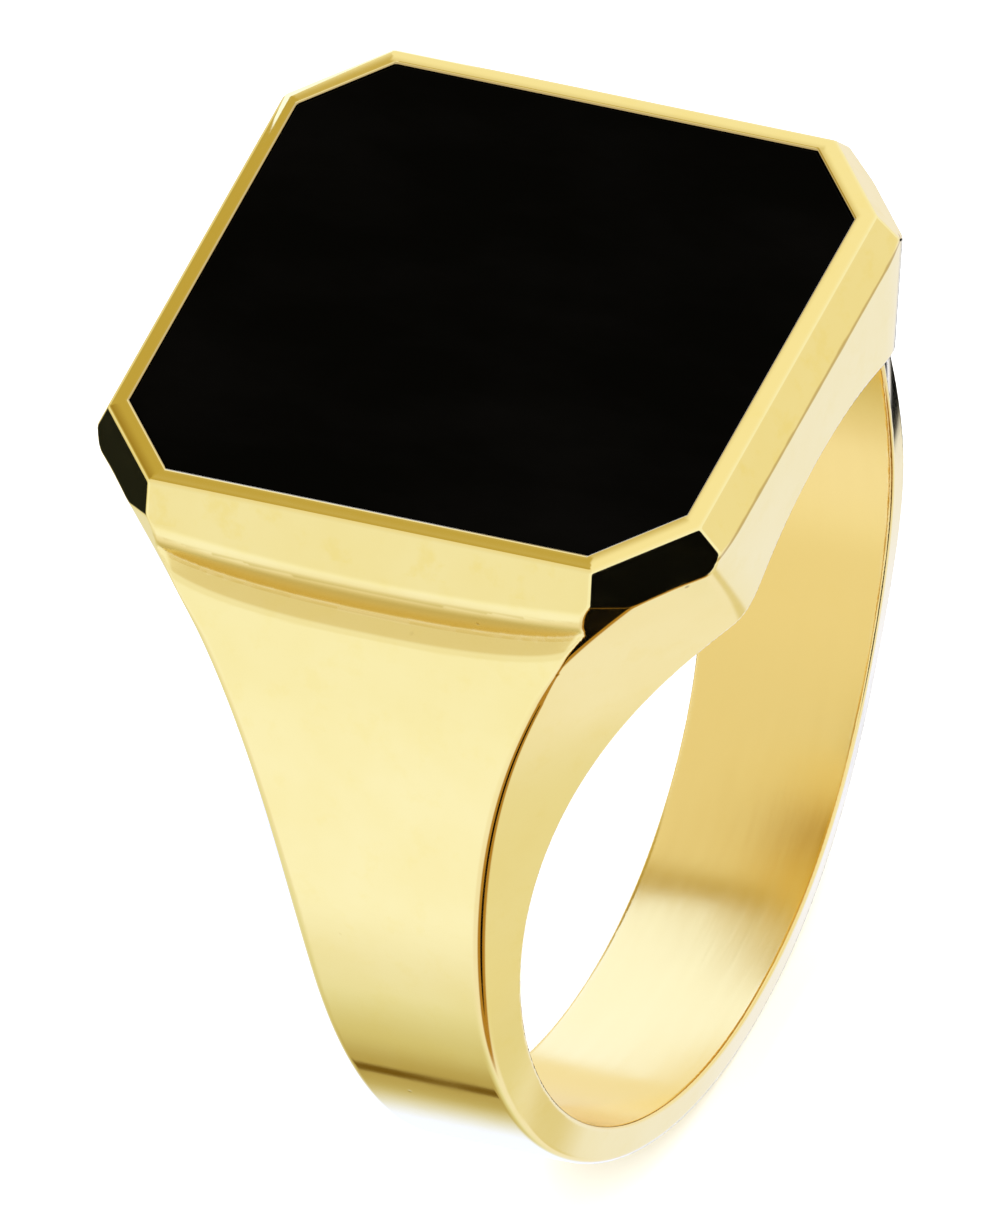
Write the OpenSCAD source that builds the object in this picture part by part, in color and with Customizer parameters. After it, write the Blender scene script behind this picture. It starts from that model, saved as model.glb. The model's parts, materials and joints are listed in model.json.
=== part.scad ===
// Signet ring with a flush octagonal stone tablet.
// Millimetres. The finger bore runs along Y and its centre is the origin.
// +Z points from the finger to the head of the ring, X runs across the shoulders.

/* [Ring size] */
// Inside diameter of the finger bore
bore_d = 20; // [19.6:0.1:20.4]
// Wall thickness of the shank at the back of the finger
shank_t = 0.95; // [0.8:0.05:1.2]
// Half width of the shank against the finger
shank_in = 2.1; // [1.9:0.1:2.6]
// Half width of the shank at its outer face
shank_out = 1.85; // [1.6:0.05:1.9]

/* [Head] */
// Height of the rim above the bore centre
head_z = 12.95; // [12.8:0.05:13.2]
// Half width of the rim across X
rim_x = 6.92; // [6.85:0.01:7]
// Half width of the rim along Y
rim_y = 7.62; // [7.55:0.01:7.7]
// Corner cut of the rim octagon, measured along each side
rim_cut = 1.9; // [1.8:0.05:2]
// Height of the bezel frame above its solder joint
frame_h = 0.9; // [0.8:0.05:1]
// Outward run of the shoulder side bevel for each millimetre down
bevel_x = 0.63; // [0.55:0.01:0.66]
// Outward run of the end bevel for each millimetre down
bevel_y = 0.57; // [0.5:0.01:0.6]
// Outward run of the corner facets for each millimetre down, along both axes added
bevel_c = 0.64; // [0.6:0.01:0.7]
// Half width of the head wall across X, under the bevel
wall_x = 7.75; // [7.7:0.01:7.8]
// Half length of the head at the bore edge
head_in = 7.78; // [7.6:0.01:7.9]
// Angle from the head centre to the crease where the head side meets the shoulder
crease = 24.7; // [24:0.1:26]

/* [Shoulders] */
// How fast the inner edge narrows, in degrees
taper_in = 31; // [28:0.5:34]
// How fast the outer edge narrows, in degrees
taper_out = 18; // [16:0.5:20]
// Slope of the shoulder face, X run for each millimetre of Z
shoulder_slope = 0.43; // [0.42:0.01:0.44]
// Where the shoulder face would cross the X axis
shoulder_x = 12.68; // [12.6:0.02:12.8]

/* [Stone] */
// Width of the wall between the stone and the outside of the rim
rim_w = 0.4; // [0.35:0.05:0.45]
// Thickness of the stone tablet
stone_t = 1.5; // [1.3:0.1:1.6]
// How far the stone lies under the rim
stone_drop = 0.05; // [0.02:0.01:0.08]
// Width of the polished edge on the stone
stone_edge = 0.1; // [0.05:0.01:0.15]
// Thickness of the cement bed under the stone
cement_t = 0.12; // [0.1:0.01:0.2]
// Gap between the cement bed and the pocket wall
cement_gap = 0.3; // [0.2:0.05:0.5]

/* [Hidden] */
$fn = 96;
R = bore_d / 2;
Ro = R + shank_t;
seam_z = head_z - frame_h;
side_run = 0.117;                       // the head sides lean out towards the top
deep = 24;
gold = [0.86, 0.70, 0.28];
black = [0.02, 0.02, 0.02];

// Corners of an octagon made from a rectangle with cut corners
function oct(x, y, c) = [[x, c - y], [x, y - c], [x - c, y], [c - x, y],
                         [-x, y - c], [-x, c - y], [c - x, -y], [x - c, -y]];

// Cubic from (0, a) with slope m to (h, b) with slope 0
function blend(t, h, a, m, b) = let(u = t / h)
    (2*u*u*u - 3*u*u + 1) * a + (u*u*u - 2*u*u + u) * h * m + (3*u*u - 2*u*u*u) * b;

// Outer radius of the shoulders and the shank at an angle from the head
lean = atan(1 / shoulder_slope);
line_d = shoulder_x / sqrt(1 + shoulder_slope * shoulder_slope);
function line_r(a) = line_d / cos(a - lean);
turn = 45;
flat = 85;
function outer_r(a) = a < turn ? line_r(a)
    : a < flat ? blend(a - turn, flat - turn, line_r(turn),
                       line_r(turn) * tan(turn - lean) * PI / 180, Ro)
    : Ro;

// Half width at the finger and at the outer face
function half_in(a) = shank_in + (head_in - shank_in) * exp(-pow(max(0, a - crease) / taper_in, 1.12));
top_out = head_in + side_run * (line_r(crease) * cos(crease) - R * cos(crease));
function half_out(a) = shank_out + (top_out - shank_out) * exp(-pow(max(0, a - crease) / taper_out, 0.9));

// One cutter that takes away a whole side, from crease to crease round the back of the finger.
// It is ruled from just inside the bore to just outside the shoulders and the shank.
stations = [crease - 1.3, 26, 28.5, 31, 34, 37, 40, 44, 48, 52, 57, 62, 68, 75, 83, 92, 102, 114, 128, 145, 162];
around = concat(stations, [180], [for (k = [len(stations) - 1 : -1 : 0]) 360 - stations[k]]);
margin = 0.6;
function half_at(a, r) = let(i = half_in(a), o = half_out(a), q = outer_r(a))
    i + (o - i) * (r - R) / (q - R) + 0.09 * max(0, crease - a);
function cut_section(t) = let(a = min(t, 360 - t), lo = R - margin, hi = outer_r(a) + margin) [
    [lo * sin(t), half_at(a, lo), lo * cos(t)], [hi * sin(t), half_at(a, hi), hi * cos(t)],
    [hi * sin(t), 12, hi * cos(t)], [lo * sin(t), 12, lo * cos(t)]];

module side_cutter() {
    n = len(around);
    faces = concat(
        [[3, 2, 1, 0]],
        [for (i = [0 : n - 2]) for (j = [0 : 3]) let(k = (j + 1) % 4)
            each [[4*i + 4 + k, 4*i + 4 + j, 4*i + j], [4*i + k, 4*i + 4 + k, 4*i + j]]],
        [[4*n - 4, 4*n - 3, 4*n - 2, 4*n - 1]]);
    polyhedron(points = [for (t = around) each cut_section(t)], faces = faces, convexity = 6);
}

// Outline seen along the finger: head wall, hollow curve, shoulder faces and shank
wall_z = head_z - (wall_x - rim_x) / bevel_x;
cove_z = 10.87;
foot_z = 10.4;
foot_a = atan((shoulder_x - shoulder_slope * foot_z) / foot_z);
right_side = concat(
    [[rim_x, head_z], [wall_x, wall_z], [wall_x, cove_z], [wall_x + 0.07, cove_z - 0.16], [wall_x + 0.2, cove_z - 0.31]],
    [for (k = [0 : 12]) let(a = foot_a + k * (flat - foot_a) / 12) outer_r(a) * [sin(a), cos(a)]],
    [for (k = [1 : 24]) let(a = flat + k * (180 - flat) / 24) Ro * [sin(a), cos(a)]]);
n_side = len(right_side);
outline = concat(right_side, [for (k = [n_side - 2 : -1 : 0]) [-right_side[k][0], right_side[k][1]]]);

// Outline seen across the shoulders: end bevels and leaning head sides
function end_outline() = let(y = rim_y + bevel_y * frame_h,
        half = [[rim_y, head_z], [y, seam_z], [y - side_run * (seam_z + Ro + 1), -Ro - 1]])
    concat(half, [for (k = [len(half) - 1 : -1 : 0]) [-half[k][0], half[k][1]]]);

module envelope() {
    down = 30;
    intersection() {
        rotate([90, 0, 0]) linear_extrude(height = 2 * deep, center = true) polygon(outline);
        rotate([90, 0, 90]) linear_extrude(height = 2 * deep, center = true) polygon(end_outline());
        intersection_for(a = [45, -45]) rotate([0, 0, a]) rotate([90, 0, 0]) linear_extrude(height = 2 * deep, center = true)
            polygon(let(d = (rim_x + rim_y - rim_cut) / sqrt(2), e = d + bevel_c * down / sqrt(2))
                    [[d, head_z], [e, head_z - down], [-e, head_z - down], [-d, head_z]]);
    }
}

module pocket(gap, z0, z1) {
    translate([0, 0, z0]) linear_extrude(height = z1 - z0)
        polygon(oct(rim_x - rim_w - gap, rim_y - rim_w - gap, rim_cut - 0.586 * (rim_w + gap) + 0.1));
}

floor_z = head_z - stone_drop - stone_t - cement_t;

module ring_body() {
    color(gold) difference() {
        envelope();
        side_cutter();
        mirror([0, 1, 0]) side_cutter();
        translate([-deep, -deep, seam_z]) cube([2 * deep, 2 * deep, 10]);
        pocket(0, floor_z, head_z + 1);
        rotate([90, 0, 0]) cylinder(h = 2 * deep, r = R, center = true, $fn = 192);
    }
}

module bezel_frame() {
    color(gold) difference() {
        intersection() {
            envelope();
            translate([-deep, -deep, seam_z]) cube([2 * deep, 2 * deep, frame_h + 1]);
        }
        pocket(0, seam_z - 1, head_z + 1);
    }
}

module onyx_tablet() {
    top = head_z - stone_drop;
    color(black) intersection() {
        pocket(0, top - stone_t, top);
        union() {
            pocket(0, top - stone_t, top - stone_edge);
            intersection() {
                rotate([90, 0, 0]) linear_extrude(height = 2 * deep, center = true)
                    polygon(let(x = rim_x - rim_w) [[x, top - stone_edge], [x - stone_edge, top],
                            [stone_edge - x, top], [-x, top - stone_edge]]);
                rotate([90, 0, 90]) linear_extrude(height = 2 * deep, center = true)
                    polygon(let(y = rim_y - rim_w) [[y, top - stone_edge], [y - stone_edge, top],
                            [stone_edge - y, top], [-y, top - stone_edge]]);
            }
        }
    }
}

module cement_bed() {
    color([0.55, 0.5, 0.42]) pocket(cement_gap, floor_z, floor_z + cement_t);
}

ring_body();
bezel_frame();
onyx_tablet();
cement_bed();
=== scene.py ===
import bpy, bmesh, json, math
import numpy as np
from mathutils import Matrix, Vector

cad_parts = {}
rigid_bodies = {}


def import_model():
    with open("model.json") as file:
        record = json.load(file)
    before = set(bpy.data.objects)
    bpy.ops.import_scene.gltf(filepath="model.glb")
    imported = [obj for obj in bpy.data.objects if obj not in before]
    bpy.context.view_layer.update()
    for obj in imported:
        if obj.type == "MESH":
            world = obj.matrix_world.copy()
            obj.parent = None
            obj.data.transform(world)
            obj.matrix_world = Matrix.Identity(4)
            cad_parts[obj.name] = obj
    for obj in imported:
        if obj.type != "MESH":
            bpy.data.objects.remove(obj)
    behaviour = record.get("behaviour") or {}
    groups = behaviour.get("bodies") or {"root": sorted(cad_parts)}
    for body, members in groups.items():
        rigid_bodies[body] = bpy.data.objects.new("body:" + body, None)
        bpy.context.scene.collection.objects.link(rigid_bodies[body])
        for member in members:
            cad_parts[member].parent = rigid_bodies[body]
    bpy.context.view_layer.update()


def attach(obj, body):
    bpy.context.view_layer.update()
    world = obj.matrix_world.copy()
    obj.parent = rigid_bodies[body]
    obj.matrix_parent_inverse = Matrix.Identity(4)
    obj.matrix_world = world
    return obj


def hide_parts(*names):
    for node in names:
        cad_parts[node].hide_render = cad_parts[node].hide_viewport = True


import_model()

S = bpy.context.scene

# ------------------------------------------------------------------ shape, millimetres
R, RO = 10.0, 10.95
HEAD, SEAM = 12.95, 12.05
RX, RY, RC = 6.92, 7.62, 1.9
BX, BY, BC = 0.63, 0.57, 0.64
WALL = 7.75
CREASE = 24.7
SLOPE, SHX = 0.43, 12.68
LEAN = math.degrees(math.atan(1 / SLOPE))
LINE_D = SHX / math.hypot(1, SLOPE)
PX, PY, PC = 6.52, 7.22, 1.766
FLOOR_Z = 11.28
RUN = 0.117


def line_r(a):
    return LINE_D / np.cos(np.radians(np.minimum(a, 89.0) - LEAN))


def outer_table():
    a = np.linspace(0, 180, 7201)
    r = np.full_like(a, RO)
    low = a < 45
    r[low] = line_r(a[low])
    mid = (a >= 45) & (a < 85)
    u = (a[mid] - 45) / 40
    r45 = float(line_r(np.array([45.0]))[0])
    m = r45 * math.tan(math.radians(45 - LEAN)) * math.pi / 180
    r[mid] = (2*u**3 - 3*u**2 + 1) * r45 + (u**3 - 2*u**2 + u) * 40 * m + (3*u**2 - 2*u**3) * RO
    return a, r


TA, TR = outer_table()
TD = np.gradient(TR, np.radians(TA))
T_OVER = np.maximum(0, TA - CREASE)
TOP_OUT = 7.78 + RUN * (float(line_r(np.array([CREASE]))[0]) - R) * math.cos(math.radians(CREASE))
T_IN = 2.1 + (7.78 - 2.1) * np.exp(-(T_OVER / 31) ** 1.12)
T_OUT = 1.85 + (TOP_OUT - 1.85) * np.exp(-(T_OVER / 18) ** 0.9)


def soft(t, width):
    k = np.exp(-0.5 * (np.arange(-160, 161) * 0.025 / width) ** 2)
    return np.convolve(np.pad(t, 160, mode="edge"), k / k.sum(), mode="valid")


# the crease between the head side and the shoulder side is polished soft
T_LEAN = 0.09 * np.maximum(0, CREASE - TA)
T_IN = soft(T_IN + T_LEAN, 0.6)
T_OUT = soft(T_OUT + T_LEAN - 0.2 * np.exp(-(T_OVER / 5) ** 2), 0.6)


def smax(a, b, k):
    """Largest of two fields, rounded off over the width k."""
    if np.isscalar(k) and k <= 0:
        return np.maximum(a, b)
    h = np.maximum(k - np.abs(a - b), 0)
    return np.maximum(a, b) + h * h / (4 * np.maximum(k, 1e-6))


def smin(a, b, k):
    return -smax(-a, -b, k)


def half_at(a, r):
    i, o, q = np.interp(a, TA, T_IN), np.interp(a, TA, T_OUT), np.interp(a, TA, TR)
    return i + (o - i) * (r - R) / (q - R)


def solid(x, y, z, sharp=False):
    """Signed field of all the gold, negative inside."""
    e = 0.0 if sharp else 1.0
    ax, ay = np.abs(x), np.abs(y)
    r = np.hypot(x, z)
    a = np.degrees(np.arctan2(ax, z))
    d_rim = np.maximum(np.maximum(ax - RX, ay - RY), (ax + ay - (RX + RY - RC)) / math.sqrt(2))
    dome = np.clip((d_rim + 0.2) / 0.2, -1.6, 1.6)
    top = z - HEAD + 0.01 * dome * dome + 0.13 * (d_rim + 0.4)
    bx = (ax - RX - BX * (HEAD - z)) / math.hypot(1, BX)
    by = (ay - RY - BY * (HEAD - z)) / math.hypot(1, BY)
    ly = (ay - (RY + BY * 0.9) + RUN * (SEAM - z)) / math.hypot(1, RUN)
    cc = (ax + ay - (RX + RY - RC) - BC * (HEAD - z)) / math.sqrt(2 + BC * BC)
    # narrow chamfer that carries each corner facet down to a point beside the shoulder
    tail = 0.8 * ax + 0.6 * ay + 0.08 * (z - 10.6) - 9.485 - 0.5 * np.maximum(0, 10.4 - z)
    # shoulders and shank seen along the finger
    ro, dr = np.interp(a, TA, TR), np.interp(a, TA, TD)
    prof = (r - ro) / np.sqrt(1 + (dr / ro) ** 2)
    core = ax - WALL - 0.02 + 0.0046 * ay * ay + 0.05 * np.clip(11.63 - z, 0, 1.2)
    prof = np.where(z > 8, np.minimum(prof, core), prof)
    # hollow under the shoulder side bevel, closing before the corners
    zl = z + 0.529 * (ax - 7.65)
    u = ay / 5.6
    w = np.maximum(11.62 - zl, 0) / 0.86
    s = (u ** 2.5 + w ** 2.5) ** 0.4
    g = np.sqrt((u ** 1.5 / 5.6) ** 2 + (w ** 1.5 / 0.86 * 1.13) ** 2) / np.maximum(s ** 1.5, 1e-6)
    q = (s - 1) / np.maximum(g, 0.15)
    hollow = smin(core, -q, 0.07 * e)
    shoulder = np.where(z > 8, smax(prof, hollow, 0.10 * e), prof)
    # sides
    d = 0.01
    ha = half_at(a, r)
    s1 = (half_at(a, r + d) - ha) / d
    s2 = (half_at(a + 0.05, r) - ha) / (math.radians(0.05) * np.maximum(r, 1))
    side = (ay - ha) / np.sqrt(1 + s1 * s1 + s2 * s2)
    yside = smax(ly, side, 0.30)
    yy = smax(by, yside, 0.045 * e)
    xx = smax(bx, shoulder, 0.15)
    f = smax(xx, smax(cc, tail, 0.03 * e), 0.04 * e)
    f = smax(f, yy, (0.05 + 0.11 * np.clip(10.6 - z, 0, 1)) * e)
    f = smax(f, top, 0.06 * e)
    f = smax(f, R - r, 0.12)
    pocket = np.maximum(np.maximum(ax - PX, ay - PY), (ax + ay - (PX + PY - PC)) / math.sqrt(2))
    f = smax(f, -np.maximum(pocket, FLOOR_Z - z), 0.035 * e)
    return f


def far_side(v, n):
    """The far half of the shank runs a little wider and squarer than the near half."""
    def scale(x, z):
        r = np.hypot(x, z)
        a = np.degrees(np.arctan2(np.abs(x), z))
        t = np.clip((a - 38) / 30, 0, 1)
        g = t * t * (3 - 2 * t) * np.exp(-(np.maximum(0, a - 100) / 24) ** 2) * (x > 0)
        q = np.interp(a, TA, TR)
        d = g * (0.29 + 0.27 * np.clip((r - R) / (q - R), 0, 1))
        return 1 + d / half_at(a, r)
    x, y, z = v.T
    h = 1e-3
    s = scale(x, z)
    sx = (scale(x + h, z) - scale(x - h, z)) / (2 * h)
    sz = (scale(x, z + h) - scale(x, z - h)) / (2 * h)
    m = np.stack([n[:, 0] - y * sx / s * n[:, 1], n[:, 1] / s, n[:, 2] - y * sz / s * n[:, 1]], 1)
    m /= np.maximum(np.linalg.norm(m, axis=1, keepdims=True), 1e-9)
    return np.stack([x, y * s, z], 1), m


def body_field(x, y, z, sharp=False):
    return smax(solid(x, y, z, sharp), z - SEAM, 0.0)


def frame_field(x, y, z, sharp=False):
    return smax(solid(x, y, z, sharp), SEAM - z, 0.0)


def gradient(f, p, d, **kw):
    x, y, z = p.T
    g = np.stack([f(x + d, y, z, **kw) - f(x - d, y, z, **kw),
                  f(x, y + d, z, **kw) - f(x, y - d, z, **kw),
                  f(x, y, z + d, **kw) - f(x, y, z - d, **kw)], 1) / (2 * d)
    return g


def contour(f, lo, hi, h):
    """Dual contouring of one quarter of a field that is the same in all four quarters."""
    xs = np.arange(-h / 2, hi[0] + h, h)
    ys = np.arange(-h / 2, hi[1] + h, h)
    zs = np.arange(lo[2], hi[2] + h, h)
    n = (len(xs), len(ys), len(zs))
    B = 4
    cb = [int(math.ceil(m / B)) for m in n]
    cx = [g[0] + (np.arange(c) * B + (B - 1) / 2) * h for g, c in zip((xs, ys, zs), cb)]
    C = f(*[m.ravel() for m in np.meshgrid(*cx, indexing="ij")], sharp=True).reshape(cb)
    near = np.abs(C) < B * h * 1.35
    big = near.repeat(B, 0).repeat(B, 1).repeat(B, 2)[:n[0], :n[1], :n[2]]
    V = np.where(C > 0, 1.0, -1.0).repeat(B, 0).repeat(B, 1).repeat(B, 2)[:n[0], :n[1], :n[2]]
    i, j, k = np.nonzero(big)
    for part in range(0, len(i), 400000):
        sl = slice(part, part + 400000)
        V[i[sl], j[sl], k[sl]] = f(xs[i[sl]], ys[j[sl]], zs[k[sl]], sharp=True)
    V[V == 0] = 1e-9
    grid = (xs, ys, zs)
    cells, points, normals, quads = [], [], [], []
    for ax in range(3):
        sa = [slice(None)] * 3
        sb = [slice(None)] * 3
        sa[ax], sb[ax] = slice(0, -1), slice(1, None)
        A, Bv = V[tuple(sa)], V[tuple(sb)]
        ii = np.stack(np.nonzero((A < 0) != (Bv < 0)), 1)
        p0 = np.stack([grid[c][ii[:, c]] for c in range(3)], 1)
        v0 = A[tuple(ii.T)]
        v1 = Bv[tuple(ii.T)]
        t0, t1 = np.zeros(len(ii)), np.ones(len(ii))
        for _ in range(5):
            t = np.clip(t0 + (t1 - t0) * v0 / (v0 - v1), t0 + 0.02 * (t1 - t0), t1 - 0.02 * (t1 - t0))
            p = p0.copy()
            p[:, ax] += t * h
            v = f(*p.T, sharp=True)
            left = (v < 0) == (v0 < 0)
            t0, v0 = np.where(left, t, t0), np.where(left, v, v0)
            t1, v1 = np.where(left, t1, t), np.where(left, v1, v)
        t = t0 + (t1 - t0) * v0 / (v0 - v1)
        p = p0.copy()
        p[:, ax] += t * h
        g = gradient(f, p, 2e-4, sharp=True)
        g /= np.linalg.norm(g, axis=1, keepdims=True)
        b, c = (ax + 1) % 3, (ax + 2) % 3
        ring = []
        for db, dc in ((-1, -1), (0, -1), (0, 0), (-1, 0)):
            q = ii.copy()
            q[:, b] += db
            q[:, c] += dc
            ring.append(q)
        good = np.ones(len(ii), bool)
        for q in ring:
            ok = (q >= 0).all(1) & (q < np.array(n) - 1).all(1)
            good &= ok
            cells.append(q[ok])
            points.append(p[ok])
            normals.append(g[ok])
        code = np.stack([np.ravel_multi_index(np.clip(q, 0, None).T, n) for q in ring], 1)[good]
        inward = V[tuple(sa)][tuple(ii.T)][good] < 0
        code[~inward] = code[~inward][:, ::-1]
        quads.append(code)
    cells = np.concatenate(cells)
    points = np.concatenate(points)
    normals = np.concatenate(normals)
    quads = np.concatenate(quads)
    ids, inv = np.unique(np.ravel_multi_index(cells.T, n), return_inverse=True)
    N = len(ids)
    count = np.bincount(inv, minlength=N)
    mass = np.stack([np.bincount(inv, points[:, c], N) for c in range(3)], 1) / count[:, None]
    rel = points - mass[inv]
    dist = (rel * normals).sum(1)
    M = np.zeros((N, 3, 3))
    rhs = np.zeros((N, 3))
    for c in range(3):
        rhs[:, c] = np.bincount(inv, normals[:, c] * dist, N)
        for e in range(c, 3):
            M[:, c, e] = M[:, e, c] = np.bincount(inv, normals[:, c] * normals[:, e], N)
    val, vec = np.linalg.eigh(M)
    keep = val > 0.06 * val[:, 2:3]
    w = np.einsum("nij,ni->nj", vec, rhs)
    w = np.where(keep, w / np.where(keep, val, 1), 0)
    vert = mass + np.einsum("nij,nj->ni", vec, w)
    cell = np.stack(np.unravel_index(ids, n), 1)
    lo_c = np.stack([grid[c][cell[:, c]] for c in range(3)], 1)
    vert = np.clip(vert, lo_c + 0.02 * h, lo_c + 0.98 * h)
    vert[cell[:, 0] == 0, 0] = 0
    vert[cell[:, 1] == 0, 1] = 0
    return vert, np.searchsorted(ids, quads)


def round_off(f, v, flat):
    """Move the corners onto the rounded surface; the points on the seam stay in its plane."""
    zero = v == 0
    on = np.abs(v[:, 2] - SEAM) < 1e-3 if flat else np.zeros(len(v), bool)
    for _ in range(4):
        g = gradient(f, v, 1e-3)
        g[on, 2] = 0
        g[zero] = 0
        val = f(*v.T)
        step = -val[:, None] * g / np.maximum((g * g).sum(1, keepdims=True), 0.05)
        size = np.linalg.norm(step, axis=1, keepdims=True)
        v = v + step * np.minimum(1, 0.05 / np.maximum(size, 1e-9))
    return v


def mirror(v, q, axis):
    n = len(v)
    mv = v.copy()
    mv[:, axis] *= -1
    ids = np.arange(n) + n
    mid = np.abs(v[:, axis]) < 1e-9
    ids[mid] = np.arange(n)[mid]
    q = np.concatenate([q, ids[q][:, ::-1]])
    v = np.concatenate([v, mv])
    used, inv = np.unique(q, return_inverse=True)
    return v[used], inv.reshape(q.shape)


def normal_of(f, v):
    g = gradient(f, v, 4e-3)
    return g / np.maximum(np.linalg.norm(g, axis=1, keepdims=True), 1e-9)


def triangles(v, q, nrm):
    d02 = (nrm[q[:, 0]] * nrm[q[:, 2]]).sum(1)
    d13 = (nrm[q[:, 1]] * nrm[q[:, 3]]).sum(1)
    l02 = np.linalg.norm(v[q[:, 0]] - v[q[:, 2]], axis=1)
    l13 = np.linalg.norm(v[q[:, 1]] - v[q[:, 3]], axis=1)
    first = np.where(np.abs(d02 - d13) > 1e-3, d02 > d13, l02 <= l13)
    a = np.where(first[:, None], q[:, [0, 1, 2]], q[:, [1, 2, 3]])
    b = np.where(first[:, None], q[:, [0, 2, 3]], q[:, [1, 3, 0]])
    return np.concatenate([a, b])


def make_mesh(name, v, t):
    me = bpy.data.meshes.new(name)
    me.vertices.add(len(v))
    me.vertices.foreach_set("co", (v * 0.001).astype(np.float32).ravel())
    me.loops.add(t.size)
    me.loops.foreach_set("vertex_index", t.astype(np.int32).ravel())
    me.polygons.add(len(t))
    me.polygons.foreach_set("loop_start", np.arange(0, t.size, 3, dtype=np.int32))
    me.update(calc_edges=True)
    me.validate()
    return me


def gold_piece(name, f, smooth_f, lo, hi, h, ratio):
    v, q = contour(f, lo, hi, h)
    v = round_off(f, v, True)
    v, q = mirror(v, q, 0)
    v, q = mirror(v, q, 1)
    nrm = normal_of(f, v)
    t = triangles(v, q, nrm)
    me = make_mesh(name, v, t)
    ob = bpy.data.objects.new(name, me)
    S.collection.objects.link(ob)
    # keep the small roundings, thin out the broad faces
    e = np.concatenate([t[:, [0, 1]], t[:, [1, 2]], t[:, [2, 0]]])
    bend = (nrm[e[:, 0]] * nrm[e[:, 1]]).sum(1) < math.cos(math.radians(2.5))
    hot = np.zeros(len(v), bool)
    hot[e[bend].ravel()] = True
    for _ in range(2):
        grow = hot[e[:, 0]] | hot[e[:, 1]]
        hot[e[grow].ravel()] = True
    vg = ob.vertex_groups.new(name="broad")
    vg.add([int(i) for i in np.nonzero(~hot)[0]], 1.0, "REPLACE")
    vg.add([int(i) for i in np.nonzero(hot)[0]], 0.0, "REPLACE")
    far = int((~hot).sum())
    m = ob.modifiers.new("thin", "DECIMATE")
    m.vertex_group = "broad"
    m.vertex_group_factor = 1.0
    m.ratio = 1 - (1 - ratio) * far / len(v)
    dg = bpy.context.evaluated_depsgraph_get()
    new = bpy.data.meshes.new_from_object(ob.evaluated_get(dg))
    ob.modifiers.clear()
    ob.vertex_groups.clear()
    ob.data = new
    bpy.data.meshes.remove(me)
    new.name = name
    # close the few pinched edges
    bm = bmesh.new()
    bm.from_mesh(new)
    for _ in range(4):
        bad = [e for e in bm.edges if not e.is_manifold]
        if not bad:
            break
        bmesh.ops.collapse(bm, edges=bad, uvs=False)
        twice = [e for e in bm.edges if len(e.link_faces) > 2]
        seen, drop = set(), []
        for face in {fc for e in twice for fc in e.link_faces}:
            key = tuple(sorted(v.index for v in face.verts))
            if key in seen:
                drop.append(face)
            seen.add(key)
        if drop:
            bmesh.ops.delete(bm, geom=drop, context="FACES_ONLY")
    bm.to_mesh(new)
    bm.free()
    co = np.empty(len(new.vertices) * 3, np.float32)
    new.vertices.foreach_get("co", co)
    co = co.reshape(-1, 3).astype(float) * 1000
    nn = normal_of(smooth_f, co)
    if name.startswith("ring"):
        co, nn = far_side(co, nn)
        new.vertices.foreach_set("co", (co * 0.001).astype(np.float32).ravel())
        new.update()
    new.shade_smooth()
    lv = np.empty(len(new.loops), np.int32)
    new.loops.foreach_get("vertex_index", lv)
    ln = nn[lv].reshape(-1, 3, 3)
    flat = (np.abs(co[lv, 2].reshape(-1, 3) - SEAM) < 2e-3).all(1)
    ln[flat] = (0, 0, 1.0 if name.startswith("ring") else -1.0)
    new.normals_split_custom_set(ln.reshape(-1, 3).tolist())
    print(name, "points", len(v), "hot", int(hot.sum()), "->", len(new.vertices), "faces", len(new.polygons))
    return ob, co, nn


# ------------------------------------------------------------------ materials
def new_material(name):
    m = bpy.data.materials.new(name)
    m.use_nodes = True
    nt = m.node_tree
    nt.nodes.clear()
    out = nt.nodes.new("ShaderNodeOutputMaterial")
    b = nt.nodes.new("ShaderNodeBsdfPrincipled")
    nt.links.new(b.outputs[0], out.inputs[0])
    return m, nt, b


def N(nt, kind, **kw):
    n = nt.nodes.new("ShaderNode" + kind)
    for k, v in kw.items():
        if k.startswith("_"):
            n.inputs[int(k[1:])].default_value = v
        else:
            setattr(n, k, v)
    return n


def math_node(nt, op, a, b=None, clamp=False):
    n = N(nt, "Math", operation=op, use_clamp=clamp)
    for i, v in enumerate((a, b)):
        if v is None:
            continue
        if hasattr(v, "links"):
            nt.links.new(v, n.inputs[i])
        else:
            n.inputs[i].default_value = v
    return n.outputs[0]


def noise(nt, vec, scale, detail=2.0, rough=0.5, stretch=None):
    if stretch:
        mp = N(nt, "Mapping")
        mp.inputs["Scale"].default_value = stretch
        nt.links.new(vec, mp.inputs["Vector"])
        vec = mp.outputs[0]
    n = N(nt, "TexNoise")
    n.inputs["Scale"].default_value = scale
    n.inputs["Detail"].default_value = detail
    n.inputs["Roughness"].default_value = rough
    nt.links.new(vec, n.inputs["Vector"])
    return n.outputs["Fac"]


def rng(nt, v, a, b, c, d, smooth=False):
    n = N(nt, "MapRange", interpolation_type="SMOOTHSTEP" if smooth else "LINEAR")
    nt.links.new(v, n.inputs[0])
    for i, k in enumerate((a, b, c, d)):
        n.inputs[1 + i].default_value = k
    return n.outputs[0]


def mix_rgb(nt, fac, a, b, blend="MIX"):
    n = N(nt, "Mix", data_type="RGBA", blend_type=blend)
    for sock, v in ((n.inputs[0], fac), (n.inputs[6], a), (n.inputs[7], b)):
        if hasattr(v, "links"):
            nt.links.new(v, sock)
        elif isinstance(v, (int, float)):
            sock.default_value = v
        else:
            sock.default_value = (*v, 1.0)
    return n.outputs[2]


GOLD = (0.965, 0.86, 0.43)
GOLD_DEEP = (0.93, 0.79, 0.31)


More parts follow.
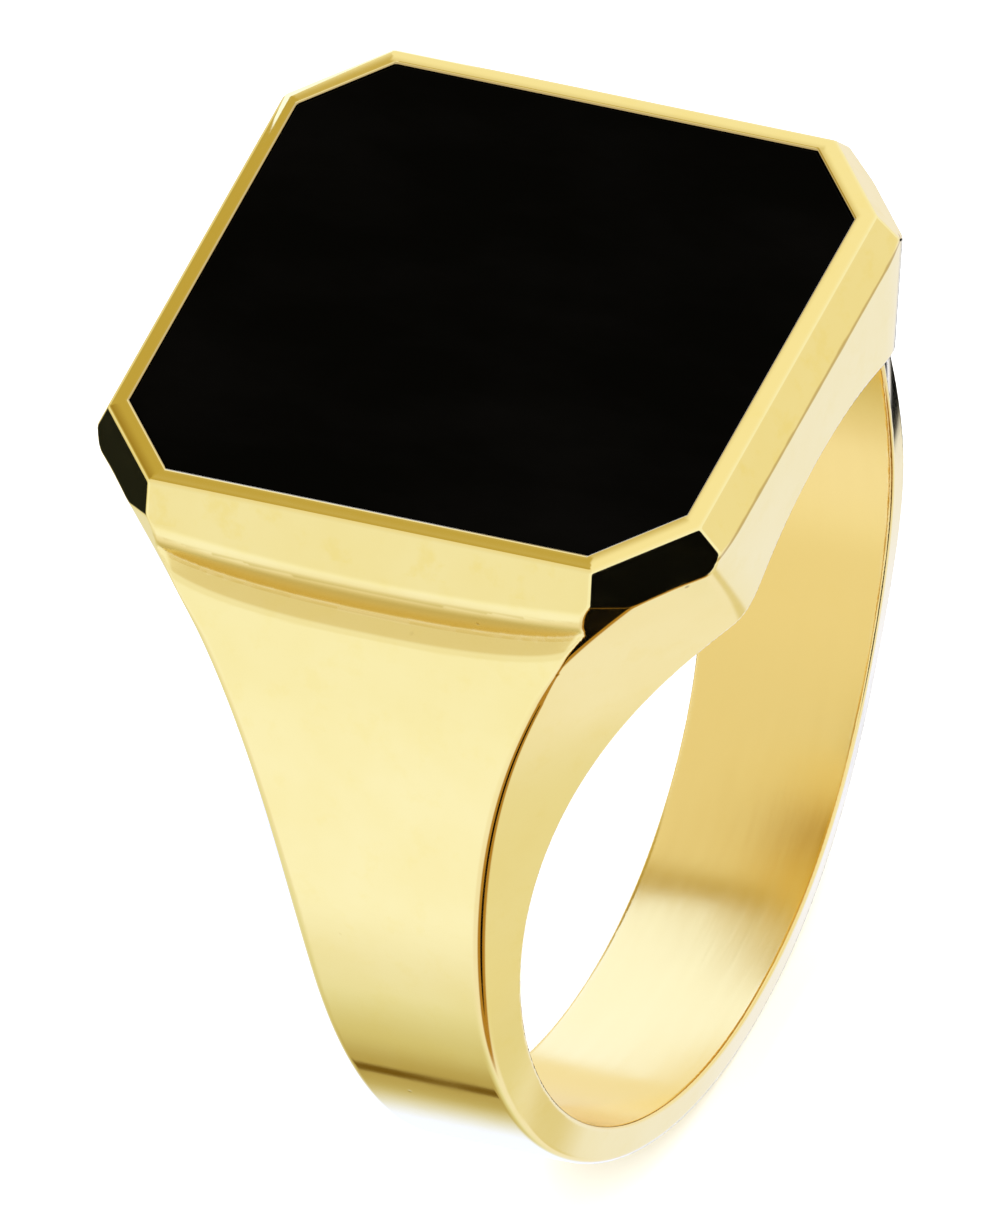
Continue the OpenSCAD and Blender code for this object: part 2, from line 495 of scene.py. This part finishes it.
def gold_material(name, seam_line):
    m, nt, b = new_material(name)
    b.inputs["Metallic"].default_value = 1.0
    obj = N(nt, "TexCoord").outputs["Object"]
    sep = N(nt, "SeparateXYZ")
    nt.links.new(obj, sep.inputs[0])
    x, y, z = sep.outputs
    rad = math_node(nt, "SQRT", math_node(nt, "ADD", math_node(nt, "MULTIPLY", x, x), math_node(nt, "MULTIPLY", z, z)))
    inner = rng(nt, rad, 0.010015, 0.01006, 1.0, 0.0, True)
    wear = N(nt, "Attribute", attribute_name="wear").outputs["Fac"]
    # the hollow under each shoulder side bevel: rougher, as polishing hardly reaches it, and darkened with painted
    # shade
    mx = math_node(nt, "ABSOLUTE", math_node(nt, "MULTIPLY", x, 1000.0))
    my = math_node(nt, "ABSOLUTE", math_node(nt, "MULTIPLY", y, 1000.0))
    mz = math_node(nt, "MULTIPLY", z, 1000.0)
    core = math_node(nt, "SUBTRACT", mx, WALL + 0.02)
    core = math_node(nt, "ADD", core, math_node(nt, "MULTIPLY", math_node(nt, "MULTIPLY", my, my), 0.0046))
    core = math_node(nt, "ADD", core, rng(nt, mz, 10.43, 11.63, 0.06, 0.0))
    off = math_node(nt, "ABSOLUTE", core)
    on_wall = rng(nt, off, 0.06, 0.12, 1.0, 0.0, True)
    wall = math_node(nt, "MULTIPLY", on_wall, rng(nt, mz, 11.25, 11.80, 1.0, 0.0, True))
    line = math_node(nt, "ADD", mx, math_node(nt, "MULTIPLY", mz, SLOPE))
    ledge = math_node(nt, "MULTIPLY", rng(nt, line, SHX - 0.05, SHX - 0.015, 0.62, 0.0, True),
                      rng(nt, mx, 7.50, 7.62, 0.0, 1.0, True))
    recess_shade_and_rough = math_node(nt, "MULTIPLY", math_node(nt, "MAXIMUM", wall, ledge), rng(nt, mz, 10.15, 10.25, 0.0, 1.0, True))
    recess_shade_and_rough = math_node(nt, "MULTIPLY", recess_shade_and_rough, rng(nt, mz, 11.75, 11.85, 1.0, 0.0, True))
    end = math_node(nt, "SUBTRACT", my, math_node(nt, "MULTIPLY", mz, 0.70))
    recess_shade_and_rough = math_node(nt, "MULTIPLY", recess_shade_and_rough, rng(nt, end, -2.66, -2.54, 1.0, 0.0, True))
    # polish marks, cloudiness and small pits
    cloud = noise(nt, obj, 420, 3.0, 0.55)
    fine = noise(nt, obj, 5200, 4.0, 0.6)
    scratch = noise(nt, obj, 2600, 3.0, 0.7, (1.0, 0.12, 1.0))
    lap = noise(nt, obj, 3400, 2.0, 0.6, (0.1, 1.0, 0.1))
    pits = N(nt, "TexVoronoi", feature="F1")
    pits.inputs["Scale"].default_value = 900
    nt.links.new(obj, pits.inputs["Vector"])
    pit_pick = noise(nt, obj, 260, 1.0)
    pit = math_node(nt, "MULTIPLY", rng(nt, pits.outputs["Distance"], 0.03, 0.075, 1.0, 0.0, True),
                    rng(nt, pit_pick, 0.60, 0.66, 0.0, 1.0, True))
    blot = noise(nt, obj, 1300, 4.0, 0.6)
    col = mix_rgb(nt, rng(nt, cloud, 0.35, 0.7, 0.0, 0.35), GOLD, GOLD_DEEP)
    col = mix_rgb(nt, rng(nt, blot, 0.50, 0.72, 0.0, 0.6 if seam_line == "bezel" else 0.25, True), col, (0.94, 0.80, 0.30))
    if seam_line == "bezel":
        # painted shade: a dark brown band in the corner beside the stone
        side_d = math_node(nt, "MAXIMUM", math_node(nt, "SUBTRACT", mx, PX), math_node(nt, "SUBTRACT", my, PY))
        cut_d = math_node(nt, "MULTIPLY", math_node(nt, "SUBTRACT", math_node(nt, "ADD", mx, my), PX + PY - PC), 0.7071)
        stone_edge_shade = rng(nt, math_node(nt, "MAXIMUM", side_d, cut_d), 0.015, 0.055, 0.9, 0.0, True)
        # painted reflection: the rim top tinted deeper orange-gold
        rim = rng(nt, z, 0.01284, 0.01290, 0.0, 0.7, True)
        col = mix_rgb(nt, rim, col, (0.93, 0.74, 0.26))
        col = mix_rgb(nt, stone_edge_shade, col, (0.36, 0.22, 0.05))
    # painted shade: darker gold in the hollow under each shoulder side bevel
    col = mix_rgb(nt, math_node(nt, "MULTIPLY", recess_shade_and_rough, 0.92), col, (0.74, 0.55, 0.16))
    col = mix_rgb(nt, math_node(nt, "MULTIPLY", inner, 0.85), col, (0.90, 0.68, 0.24))
    col = mix_rgb(nt, math_node(nt, "MULTIPLY", wear, 0.25), col, (1.0, 0.88, 0.52))
    col = mix_rgb(nt, math_node(nt, "MULTIPLY", pit, 0.55), col, (0.30, 0.19, 0.05))
    if seam_line:
        # solder joint below the end bevels: a dark hairline with a few open pores
        dz = math_node(nt, "ABSOLUTE", math_node(nt, "SUBTRACT", z, SEAM * 0.001))
        ay = math_node(nt, "ABSOLUTE", y)
        on = rng(nt, ay, 0.00790, 0.00798, 0.0, 1.0, True)
        wob = noise(nt, obj, 1500, 2.0)
        width = rng(nt, wob, 0.35, 0.7, 0.8, 1.4)
        line = rng(nt, math_node(nt, "DIVIDE", dz, width), 0.00001, 0.00006, 1.0, 0.0, True)
        por = N(nt, "TexVoronoi", feature="F1")
        por.inputs["Scale"].default_value = 420
        nt.links.new(obj, por.inputs["Vector"])
        hole = math_node(nt, "MULTIPLY", rng(nt, por.outputs["Distance"], 0.03, 0.07, 1.3, 0.0, True),
                         rng(nt, dz, 0.00004, 0.00012, 1.0, 0.0, True))
        line = math_node(nt, "MULTIPLY", math_node(nt, "MAXIMUM", math_node(nt, "MULTIPLY", line, 0.8), hole), on, True)
        col = mix_rgb(nt, line, col, (0.52, 0.36, 0.09))
    nt.links.new(col, b.inputs["Base Color"])
    base = rng(nt, cloud, 0.3, 0.75, 0.045, 0.10)
    base = math_node(nt, "ADD", base, rng(nt, scratch, 0.5, 0.8, 0.0, 0.05))
    base = math_node(nt, "ADD", base, math_node(nt, "MULTIPLY", wear, 0.07))
    base = math_node(nt, "ADD", base, math_node(nt, "MULTIPLY", pit, 0.2))
    base = math_node(nt, "ADD", base, math_node(nt, "MULTIPLY", recess_shade_and_rough, 0.16))
    satin = rng(nt, lap, 0.3, 0.75, 0.15, 0.20)
    mixr = N(nt, "Mix", data_type="FLOAT")
    nt.links.new(inner, mixr.inputs[0])
    nt.links.new(base, mixr.inputs[2])
    nt.links.new(satin, mixr.inputs[3])
    nt.links.new(mixr.outputs[0], b.inputs["Roughness"])
    h1 = math_node(nt, "MULTIPLY", fine, 0.12)
    h2 = math_node(nt, "MULTIPLY", scratch, 0.22)
    h3 = math_node(nt, "MULTIPLY", math_node(nt, "MULTIPLY", lap, inner), 0.5)
    h = math_node(nt, "ADD", math_node(nt, "ADD", h1, h2), h3)
    h = math_node(nt, "SUBTRACT", h, math_node(nt, "MULTIPLY", pit, 3.0))
    bump = N(nt, "Bump")
    bump.inputs["Strength"].default_value = 0.5
    bump.inputs["Distance"].default_value = 0.000004
    nt.links.new(h, bump.inputs["Height"])
    nt.links.new(bump.outputs[0], b.inputs["Normal"])
    return m


def onyx_material():
    m, nt, b = new_material("onyx_polished")
    obj = N(nt, "TexCoord").outputs["Object"]
    vein = noise(nt, obj, 240, 5.0, 0.6, (1.0, 0.45, 1.0))
    col = mix_rgb(nt, rng(nt, vein, 0.45, 0.75, 0.0, 1.0), (0.0003, 0.0003, 0.0003), (0.0011, 0.001, 0.001))
    nt.links.new(col, b.inputs["Base Color"])
    cloud = noise(nt, obj, 700, 3.0)
    hair = noise(nt, obj, 5200, 2.0, 0.6, (0.08, 1.0, 1.0))
    r = math_node(nt, "ADD", rng(nt, cloud, 0.3, 0.7, 0.03, 0.06), rng(nt, hair, 0.6, 0.8, 0.0, 0.05))
    nt.links.new(r, b.inputs["Roughness"])
    b.inputs["Specular IOR Level"].default_value = 0.015
    bump = N(nt, "Bump")
    bump.inputs["Strength"].default_value = 0.25
    bump.inputs["Distance"].default_value = 0.000002
    nt.links.new(hair, bump.inputs["Height"])
    nt.links.new(bump.outputs[0], b.inputs["Normal"])
    return m


def cement_material():
    m, nt, b = new_material("cement_dull")
    obj = N(nt, "TexCoord").outputs["Object"]
    g = noise(nt, obj, 2200, 5.0, 0.65)
    nt.links.new(mix_rgb(nt, g, (0.30, 0.26, 0.19), (0.48, 0.43, 0.33)), b.inputs["Base Color"])
    nt.links.new(rng(nt, g, 0.2, 0.8, 0.6, 0.85), b.inputs["Roughness"])
    bump = N(nt, "Bump")
    bump.inputs["Distance"].default_value = 0.00003
    nt.links.new(g, bump.inputs["Height"])
    nt.links.new(bump.outputs[0], b.inputs["Normal"])
    return m


# ------------------------------------------------------------------ pieces
H = 0.06


def set_wear(ob, co, nn):
    """How strongly the surface turns at each point, kept on the mesh for the worn edges."""
    me = ob.data
    e = np.empty(len(me.edges) * 2, np.int32)
    me.edges.foreach_get("vertices", e)
    e = e.reshape(-1, 2)
    turn = 1 - (nn[e[:, 0]] * nn[e[:, 1]]).sum(1)
    w = np.zeros(len(me.vertices))
    np.maximum.at(w, e[:, 0], turn)
    np.maximum.at(w, e[:, 1], turn)
    at = me.attributes.new("wear", "FLOAT", "POINT")
    at.data.foreach_set("value", np.clip(w * 6, 0, 1).astype(np.float32))


gold_mat = gold_material("gold_polished", True)
bezel_mat = gold_material("gold_bezel_polished", "bezel")

body, co, nn = gold_piece("ring_body_visual", body_field, solid, (0, 0, SEAM - 0.004 - H * math.ceil(23.2 / H)), (11.2, 8.5, 12.3), H, 0.12)
set_wear(body, co, nn)
body.data.materials.append(gold_mat)
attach(body, "root")
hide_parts("ring_body")

bezel, co, nn = gold_piece("bezel_frame_visual", frame_field, solid, (0, 0, SEAM + 0.004 - 3 * H), (7.8, 8.5, 13.15), H, 0.12)
set_wear(bezel, co, nn)
bezel.data.materials.append(bezel_mat)
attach(bezel, "root")
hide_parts("bezel_frame")


def stone():
    x, y, c = PX - 0.012, PY - 0.012, PC
    ring = [(x, c - y), (x, y - c), (x - c, y), (c - x, y), (-x, y - c), (-x, c - y), (c - x, -y), (x - c, -y)]
    top, bottom = HEAD - 0.05, HEAD - 0.05 - 1.5
    bm = bmesh.new()
    lo = [bm.verts.new((a * 0.001, b * 0.001, bottom * 0.001)) for a, b in ring]
    up = [bm.verts.new((a * 0.001, b * 0.001, top * 0.001)) for a, b in ring]
    bm.faces.new(up)
    bm.faces.new(lo[::-1])
    for i in range(8):
        j = (i + 1) % 8
        bm.faces.new((lo[i], lo[j], up[j], up[i]))
    bm.normal_update()
    rim = [e for e in bm.edges if all(v in up for v in e.verts)]
    posts = [e for e in bm.edges if (e.verts[0] in up) != (e.verts[1] in up)]
    bmesh.ops.bevel(bm, geom=rim + posts, offset=0.000055, segments=3, profile=0.6, affect="EDGES", clamp_overlap=True)
    me = bpy.data.meshes.new("onyx_tablet_visual")
    bm.to_mesh(me)
    bm.free()
    ob = bpy.data.objects.new("onyx_tablet_visual", me)
    S.collection.objects.link(ob)
    me.shade_smooth()
    w = ob.modifiers.new("wn", "WEIGHTED_NORMAL")
    w.keep_sharp = True
    me.materials.append(onyx_material())
    return ob


tablet = stone()
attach(tablet, "root")
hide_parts("onyx_tablet")

cement = cement_material()
for ob in bpy.data.objects:
    if ob.type == "MESH" and ob.name.startswith("cement_bed"):
        if ob.material_slots:
            ob.material_slots[0].material = cement
        else:
            ob.data.materials.append(cement)

# ------------------------------------------------------------------ camera, floor, light
AZ, EL, ROLL, PPM, TX, TY = -54.005, 45.809, -15.835, 43.256, 2.268, -1.832
az, el, ro = (math.radians(v) for v in (AZ, EL, ROLL))
back = Vector((math.sin(az) * math.cos(el), -math.cos(az) * math.cos(el), math.sin(el)))
right = Vector((math.cos(az), math.sin(az), 0))
up = back.cross(right)
r2 = right * math.cos(ro) + up * math.sin(ro)
u2 = -right * math.sin(ro) + up * math.cos(ro)
at = (-TX * r2 - TY * u2) * 0.001
cam_data = bpy.data.cameras.new("camera")
cam_data.type = "ORTHO"
cam_data.sensor_fit = "AUTO"
cam_data.ortho_scale = 1210 / PPM * 0.001
cam_data.clip_start, cam_data.clip_end = 0.01, 5.0
cam = bpy.data.objects.new("camera", cam_data)
S.collection.objects.link(cam)
loc = at + back * 0.35
cam.matrix_world = Matrix(((r2.x, u2.x, back.x, loc.x), (r2.y, u2.y, back.y, loc.y), (r2.z, u2.z, back.z, loc.z), (0, 0, 0, 1)))
S.camera = cam

fm, nt, b = new_material("floor_pale")
b.inputs["Roughness"].default_value = 0.9
b.inputs["Specular IOR Level"].default_value = 0.1
obj = N(nt, "TexCoord").outputs["Object"]
nt.links.new(mix_rgb(nt, noise(nt, obj, 60, 3.0), (0.92, 0.92, 0.92), (0.95, 0.95, 0.945)), b.inputs["Base Color"])
me = bpy.data.meshes.new("floor")
bm = bmesh.new()
bmesh.ops.create_grid(bm, x_segments=24, y_segments=24, size=2.0)
bm.to_mesh(me)
bm.free()
me.materials.append(fm)
floor = bpy.data.objects.new("floor", me)
floor.location = (0, 0, -RO * 0.001 - 0.00001)
S.collection.objects.link(floor)
floor.visible_glossy = False

# small white reflector behind the finger hole, hidden from the camera
me = bpy.data.meshes.new("reflector")
bm = bmesh.new()
bmesh.ops.create_grid(bm, x_segments=6, y_segments=6, size=0.5)
bm.to_mesh(me)
bm.free()
rm, nt, b = new_material("reflector_white")
b.inputs["Base Color"].default_value = (0.0, 0.0, 0.0, 1.0)
b.inputs["Specular IOR Level"].default_value = 0.0
b.inputs["Emission Color"].default_value = (1.05, 1.25, 2.1, 1.0)
b.inputs["Emission Strength"].default_value = 1.08
me.materials.append(rm)
rm.cycles.emission_sampling = "NONE"
reflector = bpy.data.objects.new("reflector", me)
reflector.matrix_world = Matrix(((0.018, 0, 0, 0.0175), (0, 0, 1, 0.0125), (0, 0.0235, 0, 0.0058), (0, 0, 0, 1)))
S.collection.objects.link(reflector)
reflector.visible_camera = False
reflector.visible_diffuse = False
reflector.visible_shadow = False

world = bpy.data.worlds.new("studio")
S.world = world
world.use_nodes = True
wt = world.node_tree
wt.nodes.clear()
wout = wt.nodes.new("ShaderNodeOutputWorld")
bg = wt.nodes.new("ShaderNodeBackground")
wt.links.new(bg.outputs[0], wout.inputs[0])
direction = wt.nodes.new("ShaderNodeTexCoord").outputs["Generated"]
norm = N(wt, "VectorMath", operation="NORMALIZE")
wt.links.new(direction, norm.inputs[0])
direction = norm.outputs[0]


def angle_to(c):
    c = Vector(c).normalized()
    n = N(wt, "VectorMath", operation="DOT_PRODUCT")
    wt.links.new(direction, n.inputs[0])
    n.inputs[1].default_value = c
    ac = math_node(wt, "ARCCOSINE", n.outputs["Value"])
    return math_node(wt, "MULTIPLY", ac, 180 / math.pi)


def card(prev, c, inner, outer, colour, amount=1.0):
    f = rng(wt, angle_to(c), inner, outer, amount, 0.0, True)
    return mix_rgb(wt, f, prev, colour)


sepw = N(wt, "SeparateXYZ")
wt.links.new(direction, sepw.inputs[0])
low = rng(wt, sepw.outputs[2], -0.45, -0.1, 1.0, 0.0, True)
env = mix_rgb(wt, low, (1.0, 1.0, 1.0), (0.94, 0.90, 0.92))
env = card(env, (-0.86, 0.41, 0.30), 12, 26, (0.93, 0.90, 0.82))
env = card(env, (-0.846, 0.41, -0.342), 6, 18, (1.02, 1.03, 1.12))
env = card(env, (0.2, 0.93, -0.3), 20, 50, (0.80, 0.72, 0.45))
env = card(env, (0.564, -0.25, -0.79), 6, 24, (0.93, 0.93, 1.10))
env = card(env, (0.564, -0.826, -0.013), 12, 26, (0.90, 0.83, 0.66))
env = card(env, (-0.20, -0.72, -0.66), 8, 20, (0.85, 0.79, 0.62))
env = card(env, (0.08, -0.60, -0.795), 4, 16, (0.81, 0.75, 0.56))
env = card(env, (0.26, -0.36, -0.90), 3, 9, (0.78, 0.70, 0.50))
# soft fall-off behind and under the ring
c164 = (-0.251, 0.41, -0.877)
env = card(env, c164, 24, 42, (0.86, 0.85, 0.75))
env = card(env, c164, 12, 32, (0.68, 0.62, 0.38))
env = card(env, c164, 3, 15, (0.50, 0.40, 0.17))
env = card(env, (0.38, 0.36, -0.85), 9, 30, (1.0, 1.12, 1.8))
env = card(env, c164, 0.8, 2.6, (0.16, 0.09, 0.01))
env = card(env, (0.053, 0.921, -0.388), 9, 14, (0.013, 0.014, 0.011))
# warm side of the room, seen by the rim and the finger hole
env = card(env, (-0.40, 0.41, 0.82), 20, 38, (0.90, 0.87, 0.78))
env = card(env, (0.19, 0.41, 0.892), 2.5, 7, (0.52, 0.40, 0.13))
env = card(env, (0.34, 0.68, 0.65), 18, 29, (0.56, 0.45, 0.14))
env = card(env, (0.34, 0.68, 0.65), 3, 13, (0.38, 0.27, 0.06))
env = card(env, (-0.64, -0.48, -0.60), 17, 25, (0.46, 0.24, 0.04))
env = card(env, (-0.69, -0.675, -0.29), 13, 14.5, (0.003, 0.003, 0.003))
env = card(env, (-0.627, -0.781, 0.05), 18, 22, (0.003, 0.003, 0.003))
env = card(env, (-0.625, -0.48, -0.605), 5.5, 7, (0.003, 0.003, 0.003))
env = card(env, (0.62, 0.20, -0.76), 2, 5, (1.04, 1.12, 1.6))
env = card(env, (0.61, 0.28, -0.74), 6.8, 7.6, (0.003, 0.003, 0.003))
env = card(env, (0.69, 0.03, -0.72), 4, 5.5, (0.003, 0.003, 0.003))
env = card(env, (0.72, -0.09, -0.69), 4.2, 5.5, (0.003, 0.003, 0.003))
lp = N(wt, "LightPath")
glossy = lp.outputs["Is Glossy Ray"]
final = mix_rgb(wt, glossy, (2.1, 2.1, 2.1), env)
wt.links.new(final, bg.inputs["Color"])
world.cycles.sampling_method = "NONE"
S.view_settings.view_transform = "Standard"
S.view_settings.look = "None"
